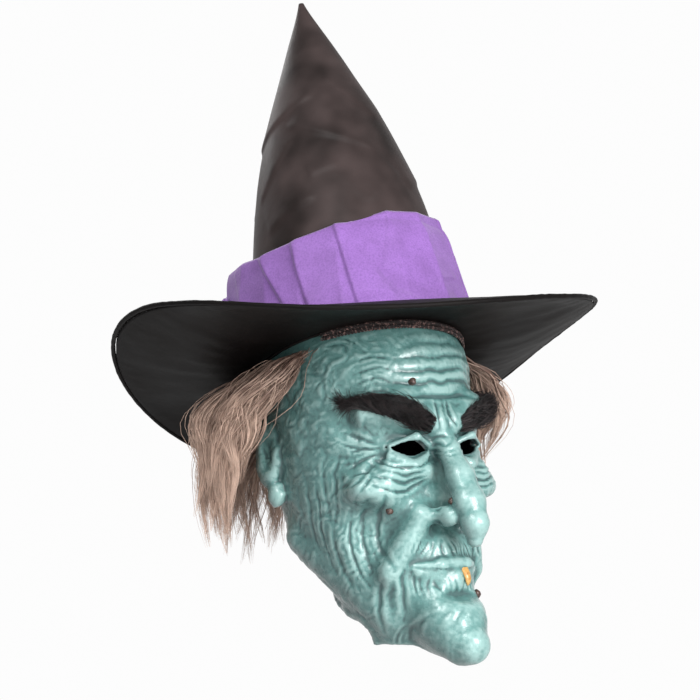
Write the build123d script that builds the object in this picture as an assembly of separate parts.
"""Pull-over latex witch mask with a cloth witch hat.

Units are millimetres. The origin is the middle of the wearer's head, +Z is up, the face looks
along -Y and +X is the wearer's left. The hat is modelled upright on its own axis, with its
origin at the middle of the oval where the brim meets the cone, and is then set on the head.
"""

from build123d import *
import math
import os

# ---- latex hood -------------------------------------------------------------------------
latex_wall = 3.0
crown_half_width = 90.0
crown_half_depth = 106.0
crown_rise = 95.0           # half height of the skull's egg, along the hat's axis
crown_drop = 35.0           # how far the skull's widest section lies under the hat's seat
face_half_width = 91.0      # at the brows
face_front = 106.0          # from the head's axis to the brow
face_back = 104.0
face_length = 183.0         # from the brows' level down to the lowest section
neck_front = -58.0          # the neck opening starts behind the chin
neck_front_height = -128.0
neck_back_height = -24.0
neck_rise_depth = 125.0     # depth over which the rim climbs behind the jaw

eye_spacing = 64.0
eye_height = 22.0
eye_width = 36.0
eye_opening = 16.0
nostril_radius = 4.5
nostril_spacing = 19.0

# ---- trims on the hood ------------------------------------------------------------------
brow_thickness = 9.0
brow_width = 19.0
wart_radius = 3.6
tooth_width = 8.0
tooth_length = 15.0
weft_height = 12.0
weft_thickness = 1.5
weft_front_angle = 62.0     # degrees round from the face to where the hair starts
hair_bulge = 42.0
hair_length = 150.0
hair_front_left = -34.0     # how far forward the hair starts, on each side
hair_front_right = -16.0

# ---- hat --------------------------------------------------------------------------------
seat_depth = 24.0           # the hat's seat, behind the head's axis
seat_height = 100.6
hat_tilt = 19.3             # degrees back
hat_roll = 5.4              # degrees towards the wearer's left
seat_clearance = 0.9
sweatband_wall = 1.2
sweatband_height = 18.0
sweatband_hang = 2.0
foot_margin = 8.5           # from the sweatband out to the cone's foot
cone_height = 357.0
tip_radius = 2.4
cone_lean_side = -6.5
cone_lean_back = 5.0
satin_thickness = 0.6
lining_thickness = 1.4
brim_radius = 219.5
stiffener_thickness = 1.4
side_lift = 27.0            # the brim's sides curl up and its front and back dip
rim_skew = 21.0
rim_wobble = 2.2
curl_power = 1.6
binding_radius = 2.3
wire_radius = 0.8
ferrule_radius = 1.5
ferrule_length = 16.0
ferrule_angle = 125.0
trim_drop = 9.5
trim_thickness = 1.4
trim_half_angle = 62.0
band_height = 98.0
band_stand_off = 13.0
fold_thickness = 3.0
cloth_gap = 0.2             # loose cloth edges stay this far from their neighbours
foot_gap = 0.4              # the seam that lifts the cone's foot off the brim
body_gap = 1.0              # between the hat and what is glued to the hood

ROUND = 16                  # points round a spline section

# ---- frames and shared sizes ------------------------------------------------------------
tilt = math.radians(hat_tilt)
roll = math.radians(hat_roll)
hat_axis = Vector(math.sin(roll), math.sin(tilt) * math.cos(roll), math.cos(tilt) * math.cos(roll))
hat_side = Vector(1, 0, 0) - hat_axis * hat_axis.X
hat_plane = Plane(origin=(0, seat_depth, seat_height), x_dir=hat_side, z_dir=hat_axis)


def crown_scale(height):
    """Share of the skull's widest section that is left at a height above the hat's seat."""
    return math.sqrt(1 - ((height + crown_drop) / crown_rise) ** 2)


widest_in_band = crown_scale(-sweatband_hang)
band_inner_x = crown_half_width * widest_in_band + seat_clearance
band_inner_y = crown_half_depth * widest_in_band + seat_clearance
band_outer_x = band_inner_x + sweatband_wall
band_outer_y = band_inner_y + sweatband_wall
foot_x = band_outer_x + foot_margin
foot_y = band_outer_y + foot_margin
brim_thickness = 2 * satin_thickness + stiffener_thickness
ply_radius = brim_radius - binding_radius - cloth_gap
cone_foot = brim_thickness + foot_gap
flat_radius = foot_y + 9.0


def on_hat(shape):
    return shape.moved(hat_plane.location)


def ring_points(half_x, front, back, chin=0.0):
    """Points of an egg-shaped section, from the front round by the wearer's left."""
    points = []
    for step in range(ROUND):
        angle = 2 * math.pi * step / ROUND
        depth = front if math.cos(angle) > 0 else back
        spread = min(angle, 2 * math.pi - angle)
        swell = 1 + chin * math.exp(-((spread / 0.45) ** 2))
        points.append((half_x * math.sin(angle), -depth * swell * math.cos(angle)))
    return points


def closed_wire(plane, points):
    curve = Edge.make_spline([plane.from_local_coords((x, y, 0)) for x, y in points], periodic=True)
    return Wire([curve])


def oval_wire(height, half_x, half_y, shift_x=0.0, shift_y=0.0):
    points = [(x + shift_x, y + shift_y) for x, y in ring_points(half_x, half_y, half_y)]
    return closed_wire(Plane(origin=(0, 0, height)), points)


def oval_prism(half_x, half_y, low, high):
    base = Face(oval_wire(low, half_x, half_y))
    return Solid.extrude(base, Vector(0, 0, high - low))


def wedge(start, end, low, high, radius):
    """A pie slice round the hat's axis: angles in degrees from the front, by the left."""
    steps = max(2, int((end - start) / 15))
    corners = [(0, 0)]
    for step in range(steps + 1):
        angle = math.radians(start + (end - start) * step / steps)
        corners.append((radius * math.sin(angle), -radius * math.cos(angle)))
    base = make_face(Polyline(*corners, close=True)).face().moved(Pos(0, 0, low))
    return Solid.extrude(base, Vector(0, 0, high - low))


# ---- latex hood -------------------------------------------------------------------------
# centre depth, centre height, tilt in degrees, half width, front and back depth, chin swell
face_sections = [
    (10, 0.000, 10, 1.000, 1.00, 1.00, 0.00),
    (8, 0.142, 4, 0.967, 0.91, 0.98, 0.00),
    (4, 0.328, -3, 0.925, 0.90, 0.93, 0.02),
    (0, 0.492, -8, 0.857, 0.90, 0.85, 0.05),
    (-6, 0.634, -12, 0.770, 0.86, 0.77, 0.07),
    (-14, 0.765, -16, 0.660, 0.86, 0.67, 0.08),
    (-22, 1.000, -22, 0.460, 0.55, 0.50, 0.00),
]
crown_angles = [78, 70, 60, 50, 40, 30, 20, 10, 0]     # degrees up the skull's egg
brow_level = 38.0


def head_solid(inset):
    """The hood's outside, or its inside when inset is the wall."""
    wires = []
    for angle in crown_angles:
        height = (crown_rise - inset) * math.sin(math.radians(angle)) - crown_drop
        plane = Plane(hat_plane.from_local_coords((0, 0, height)),
                      x_dir=hat_plane.x_dir, z_dir=hat_plane.z_dir)
        share = math.cos(math.radians(angle))
        half_x = (crown_half_width - inset) * share
        half_y = (crown_half_depth - inset) * share
        wires.append(closed_wire(plane, ring_points(half_x, half_y, half_y)))
    for depth, drop, lean, wide, front, back, chin in face_sections:
        height = brow_level - face_length * drop
        normal = Vector(0, math.sin(math.radians(lean)), math.cos(math.radians(lean)))
        centre = Vector(0, depth, height) + normal * (inset if drop == 1.0 else 0)
        plane = Plane(origin=centre, x_dir=(1, 0, 0), z_dir=normal)
        points = ring_points(face_half_width * wide - inset, face_front * front - inset,
                             face_back * back - inset, chin)
        wires.append(closed_wire(plane, points))
    return Solid.make_loft(wires)


def tapered_limb(stations, inset):
    """A nose or chin: round sections (depth, height, half width, half thickness) in a row."""
    wires = []
    last = len(stations) - 1
    for index, (depth, height, half_x, half_t) in enumerate(stations):
        before = stations[max(index - 1, 0)]
        after = stations[min(index + 1, last)]
        way = Vector(0, after[0] - before[0], after[1] - before[1]).normalized()
        centre = Vector(0, depth, height) - way * (inset if index == last else 0)
        plane = Plane(origin=centre, x_dir=(1, 0, 0), z_dir=way)
        wide = max(half_x - inset, 1.0)
        thick = max(half_t - inset, 1.0)
        wires.append(closed_wire(plane, ring_points(wide, thick, thick)))
    return Solid.make_loft(wires)


nose_stations = [
    (-82, 36, 9, 9), (-98, 12, 12, 12), (-113, -12, 16, 15), (-127, -33, 15, 15), (-137, -50, 9, 9),
    (-140, -57, 5, 5),
]
chin_stations = [
    (-70, -112, 40, 36), (-96, -131, 35, 30), (-117, -146, 26, 23), (-131, -156, 16, 14),
    (-138, -161, 8, 7),
]


def rim_cutter():
    """Everything under the mask's lower edge, which runs below the jaw and climbs behind it."""
    low = neck_front_height - 100
    far = neck_front + 3 * neck_rise_depth
    points = []
    for step in range(7):
        share = step / 6
        rise = (neck_back_height - neck_front_height) * share ** 2
        points.append((neck_front + 18 + neck_rise_depth * share, neck_front_height + rise))
    edge = [(neck_front, neck_front_height), *points, (far, neck_back_height)]
    outline = Polyline((neck_front, low), *edge, (far, low), close=True)
    face = make_face(Plane.YZ * outline).face().moved(Pos(-150, 0, 0))
    return Solid.extrude(face, Vector(300, 0, 0))


def eye_cutter(side):
    half = eye_width / 2
    lid = Spline((-half, 0), (-half * 0.3, eye_opening * 0.55), (half * 0.45, eye_opening * 0.45),
                 (half, 0))
    under = Spline((half, 0), (0, -eye_opening * 0.45), (-half, 0))
    place = Plane(origin=(side * eye_spacing / 2, -130, eye_height), x_dir=(side, 0, 0),
                  z_dir=(0, side, 0))
    face = make_face(place * Curve([lid, under])).face()
    return Solid.extrude(face, Vector(0, 90, 0))


def nostril_cutter(side):
    place = Plane(origin=(side * nostril_spacing / 2, -119, -50), x_dir=(1, 0, 0),
                  z_dir=(0, 0.35, 1))
    return Solid.make_cylinder(nostril_radius, 26.0, place)


def hood_body(inset):
    return head_solid(inset) + tapered_limb(nose_stations, inset) + tapered_limb(chin_stations, inset)


head_skin = hood_body(0)
head_room = hood_body(latex_wall)


def latex_head_shell():
    shell = head_skin - head_room - rim_cutter()
    for side in (1, -1):
        shell -= eye_cutter(side)
        shell -= nostril_cutter(side)
    return shell


def brow(side):
    """A strip of fur along the brow ridge, thick in the middle and drawn out at the ends."""
    stations = [(9, -99, 41, 0.5), (27, -97, 50, 0.95), (46, -88, 59, 1.0), (63, -74, 63, 0.75),
                (76, -56, 60, 0.35)]
    wires = []
    for index, (x, y, z, share) in enumerate(stations):
        before = stations[max(index - 1, 0)]
        after = stations[min(index + 1, len(stations) - 1)]
        way = Vector(side * (after[0] - before[0]), after[1] - before[1], after[2] - before[2])
        plane = Plane(origin=(side * x, y, z), x_dir=(0, 0, 1), z_dir=way)
        half_w = brow_width / 2 * share
        half_t = brow_thickness / 2 * share + 2.0
        wires.append(closed_wire(plane, ring_points(half_w, half_t, half_t)))
    return Solid.make_loft(wires) - head_skin


wart_places = [(-47, -80, -30), (38, -83, -6), (22, -106, -108), (-14, -121, -22), (-30, -93, 82)]


def warts():
    beads = []
    for index, (x, y, z) in enumerate(wart_places):
        radius = wart_radius * (1 + 0.12 * (index % 3))
        bead = Solid.make_sphere(radius).moved(Pos(x, y, z)) - head_skin
        beads.append(bead)
    return Compound(children=[solid for bead in beads for solid in bead.solids()])


def front_tooth():
    top = Plane(origin=(9, -97, -84), x_dir=(1, 0, 0), z_dir=(0, 0.25, 1))
    low = Plane(origin=(9.5, -106, -84 - tooth_length), x_dir=(1, 0, 0), z_dir=(0, 0.25, 1))
    half = tooth_width / 2
    wires = [closed_wire(top, ring_points(half, half, half)),
             closed_wire(low, ring_points(half * 0.6, half * 0.5, half * 0.5))]
    return Solid.make_loft(wires) - head_skin


def hair_weft():
    """The cloth tape that carries the hair, from temple to temple round the back."""
    high = -body_gap - 9.0
    low = high - weft_height
    wires = []
    for height in (low, (low + high) / 2, high):
        share = crown_scale(height)
        half_x = crown_half_width * share + weft_thickness
        half_y = crown_half_depth * share + weft_thickness
        wires.append(oval_wire(height, half_x, half_y))
    band = Solid.make_loft(wires)
    band = band & wedge(weft_front_angle, 360 - weft_front_angle, low, high, 400)
    return on_hat(band) - head_skin


def hair_mass():
    """The whole mane, before it is parted: bulged out at the sides and ragged to a hem."""
    wide = face_half_width + hair_bulge
    deep = face_back + hair_bulge
    top = 104.0
    rows = [(1.0, 0.86, 0.92), (0.82, 0.95, 0.98), (0.5, 1.0, 1.03), (0.2, 0.96, 1.05),
            (0.0, 0.86, 0.98)]
    wires = []
    for share, side_share, back_share in rows:
        height = top - hair_length + hair_length * share - 14.0 * (share == 0.0)
        points = ring_points(wide * side_share, 70.0, deep * back_share)
        wires.append(closed_wire(Plane(origin=(0, 6, height)), points))
    return Solid.make_loft(wires)


def hair_parts():
    roof = on_hat(wedge(0, 345, -400, -12.0, 500) + wedge(345, 360, -400, -12.0, 500))
    mane = hair_mass() & roof
    mane = mane - head_skin - hair_weft()
    part_line = 56.0
    left_box = Solid.make_box(200, part_line - hair_front_left, 400)
    right_box = Solid.make_box(200, part_line - hair_front_right, 400)
    back_box = Solid.make_box(400, 140, 400)
    left = mane & left_box.moved(Pos(40, hair_front_left, -200))
    right = mane & right_box.moved(Pos(-240, hair_front_right, -200))
    back = mane & back_box.moved(Pos(-200, part_line, -200))
    return left, right, back


# ---- hat --------------------------------------------------------------------------------
def rim_height(angle):
    """Height of the brim's edge, by the angle round from the front."""
    fold = -side_lift * math.cos(2 * angle) + rim_skew * math.sin(2 * angle)
    ripple = math.cos(3 * angle) - 0.8 * math.sin(3 * angle) + math.cos(4 * angle)
    return fold + rim_wobble * ripple - 1.5


def brim_height(x, y):
    radius = math.hypot(x, y)
    share = max(0.0, (radius - flat_radius) / (brim_radius - flat_radius))
    return rim_height(math.atan2(x, -y)) * share ** curl_power


def brim_sheet():
    """The brim's lower face, spread a little past its edge."""
    reach = brim_radius + 10.0
    steps = 20
    rows = []
    for row in range(steps + 1):
        y = -reach + 2 * reach * row / steps
        line = []
        for column in range(steps + 1):
            x = -reach + 2 * reach * column / steps
            line.append(Vector(x, y, brim_height(x, y)))
        rows.append(line)
    return Face.make_surface_from_array_of_points(rows, tol=0.05)


def brim_plies():
    sheet = brim_sheet()
    disc = Solid.make_cylinder(ply_radius, 400, Plane(origin=(0, 0, -200)))
    ring = disc - oval_prism(band_outer_x, band_outer_y, -200, 200)
    plies = []
    level = 0.0
    for thickness in (satin_thickness, stiffener_thickness, satin_thickness):
        slab = Solid.extrude(sheet.moved(Pos(0, 0, level)), Vector(0, 0, thickness))
        plies.append(slab & ring)
        level += thickness
    return plies


def rim_path():
    points = []
    count = 24
    for step in range(count):
        angle = 2 * math.pi * step / count
        x = brim_radius * math.sin(angle)
        y = -brim_radius * math.cos(angle)
        points.append(Vector(x, y, rim_height(angle) + brim_thickness / 2))
    return Edge.make_spline(points, periodic=True)


def tube_along(path, radius):
    start = Plane(origin=path @ 0, z_dir=path % 0)
    return Solid.sweep(Face(Wire([Edge.make_circle(radius, start)])), path)


def rim_tube(path, radius):
    """A closed ring is swept as two halves, which meet face to face."""
    return tube_along(path.trim(0, 0.5), radius) + tube_along(path.trim(0.5, 1), radius)


def rim_parts():
    path = rim_path()
    half = ferrule_length / (4 * math.pi * brim_radius)
    middle = ferrule_angle / 360
    short = path.trim(middle - half, middle + half)
    wire = rim_tube(path, wire_radius)
    crimp = tube_along(short, ferrule_radius)
    binding = rim_tube(path, binding_radius) - wire - crimp
    return wire, crimp - wire, binding


def cone_radius(share):
    """Width of the cone up its height, as a share of its foot: it bellies out a little."""
    return (1 - share) * (1 - 0.1 * share + 2.56 * share ** 2 - 2.42 * share ** 3)


def cone_solid(inset):
    wires = []
    for share in (0.0, 0.12, 0.26, 0.4, 0.54, 0.67, 0.79, 0.89, 0.96, 1.0):
        width = cone_radius(share)
        half_x = foot_x * width + tip_radius * share - inset
        half_y = foot_y * width + tip_radius * share - inset
        oval = (half_y - half_x) / 2 * share
        half_x += oval
        half_y -= oval
        if min(half_x, half_y) < 1.2:
            break
        height = cone_foot + (cone_height - inset - cone_foot) * share
        bend = share ** 2.5
        wires.append(oval_wire(height, half_x, half_y, cone_lean_side * bend, cone_lean_back * bend))
    return Solid.make_loft(wires)


def band_wires(grow, low, high):
    """Sections of the sash, which bags out from the cone and tucks in at its top edge."""
    wires = []
    for share in (0.0, 0.28, 0.58, 0.84, 1.0):
        height = low + (high - low) * share
        up = (height - cone_foot) / (cone_height - cone_foot)
        bag = band_stand_off * (0.45 + 0.75 * math.sin(math.pi * min(1.0, share * 0.75 + 0.12)))
        bag -= band_stand_off * 0.55 * share ** 6
        half_x = foot_x * cone_radius(up) + bag + grow
        half_y = foot_y * cone_radius(up) + bag + grow
        wires.append(oval_wire(height, half_x, half_y))
    return wires


def hat_parts():
    skin = cone_solid(0)
    under_skin = cone_solid(satin_thickness)
    under_lining = cone_solid(satin_thickness + lining_thickness)
    low = cone_foot
    band_outside = Solid.make_loft(band_wires(0, low, band_height))
    parts = {
        "crown_cone": skin - under_skin,
        "crown_interlining": under_skin - under_lining,
        "hatband_wrap": band_outside - skin,
    }
    fold = Solid.make_loft(band_wires(fold_thickness, low, band_height * 0.84))
    fold = fold & wedge(62, 150, low, band_height, 300)
    parts["hatband_back_fold"] = fold - band_outside
    angle = math.radians(-125)
    reach = foot_x + band_stand_off + 3
    wires = []
    for height, wide, deep in ((12, 9, 5), (30, 13, 8), (52, 12, 8), (72, 8, 4)):
        shift_x = reach * math.sin(angle)
        shift_y = -reach * math.cos(angle)
        wires.append(oval_wire(height, deep + 3, wide, shift_x, shift_y))
    parts["hatband_tuck"] = Solid.make_loft(wires) - band_outside
    band = oval_prism(band_outer_x, band_outer_y, -sweatband_hang, sweatband_height)
    band = band - oval_prism(band_inner_x, band_inner_y, -50, 50)
    parts["sweatband"] = band
    trim_x = crown_half_width * crown_scale(-trim_drop) + body_gap
    trim_y = crown_half_depth * crown_scale(-trim_drop) + body_gap
    trim = oval_prism(trim_x + trim_thickness, trim_y + trim_thickness, -trim_drop, -cloth_gap)
    trim = trim - oval_prism(trim_x, trim_y, -50, 50)
    trim = trim & wedge(-trim_half_angle, trim_half_angle, -50, 50, 300)
    parts["forehead_trim"] = trim
    bottom, core, top = brim_plies()
    parts["brim_bottom_ply"] = bottom
    parts["brim_stiffener"] = core
    parts["brim_top_ply"] = top
    wire, ferrule, binding = rim_parts()
    parts["brim_wire"] = wire
    parts["wire_ferrule"] = ferrule
    parts["brim_binding"] = binding
    return {name: on_hat(shape) for name, shape in parts.items()}


def all_parts():
    left, right, back = hair_parts()
    parts = {
        "latex_head_shell": latex_head_shell(),
        "brow_right": brow(-1),
        "brow_left": brow(1),
        "warts": warts(),
        "front_tooth": front_tooth(),
        "hair_weft": hair_weft(),
        "hair_left": left,
        "hair_right": right,
        "hair_back": back,
    }
    parts.update(hat_parts())
    return parts


os.makedirs("parts", exist_ok=True)
for node, shape in all_parts().items():
    print(node, round(shape.volume), shape.is_valid)
    export_step(shape, f"parts/{node}.step")
